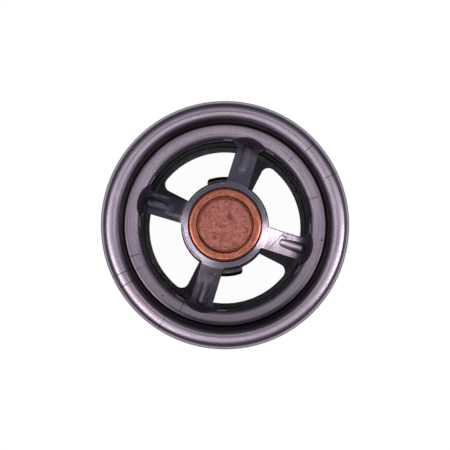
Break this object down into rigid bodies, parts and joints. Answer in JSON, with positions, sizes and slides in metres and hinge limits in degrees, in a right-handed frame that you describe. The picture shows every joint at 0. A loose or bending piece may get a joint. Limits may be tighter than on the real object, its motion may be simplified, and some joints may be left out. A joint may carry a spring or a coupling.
{
  "type": "sleeve-type coolant temperature valve",
  "caption": "Coolant temperature valve: a wax capsule lifts a sleeve off its seat in a ported cage, against a coil spring, inside a beaded flange ring.",
  "frame": {"origin": "on the valve axis, in the plane of the rear face that the valve stands on; the flange gasket's seat is 31 mm above it", "axes": "+Z along the valve axis towards the capsule's closed end; two of the spring retainer's ears point along +Y and -Y"},
  "size_m": [0.054, 0.054, 0.0404],
  "materials": {
    "dark_steel": "dark gunmetal steel with a purple cast, satin, fine grain and hairline scratches",
    "cage_steel": "dark tarnished sheet steel, dull satin",
    "spring_steel": "drawn wire, satin",
    "polished_steel": "ground and polished",
    "copper": "copper, matte and pitted on its raised end, brighter on its edges",
    "brass": "turned brass, slightly dull",
    "black_rubber": "matte black rubber",
    "wax": "wax loaded with copper powder, dull",
    "white_plastic": "white fluoroplastic, dull"
  },
  "bodies": {
    "frame": {"flange_ring": "dark_steel", "flange_gasket": "black_rubber", "front_bridge": "dark_steel", "seal_spacer": "cage_steel", "seal_ring": "black_rubber", "seal_washer": "cage_steel", "rear_cage": "cage_steel", "seat_gasket": "black_rubber", "calibration_plug": "brass", "piston": "polished_steel", "return_spring": "spring_steel"},
    "valve": {"valve_sleeve": "cage_steel", "sleeve_spider": "cage_steel", "spring_retainer": "cage_steel", "capsule_cup": "copper", "capsule_guide": "brass", "rubber_boot": "black_rubber", "wax_charge": "wax", "backup_washer": "white_plastic", "guide_wiper": "black_rubber"}
  },
  "joints": [
    {"name": "valve_lift", "type": "slide", "parent": "frame", "child": "valve", "axis": [0, 0, 1], "range_m": [0, 0.008], "stiffness_N_per_m": 330, "springref_m": -0.045, "deforming": ["return_spring"]}
  ]
}
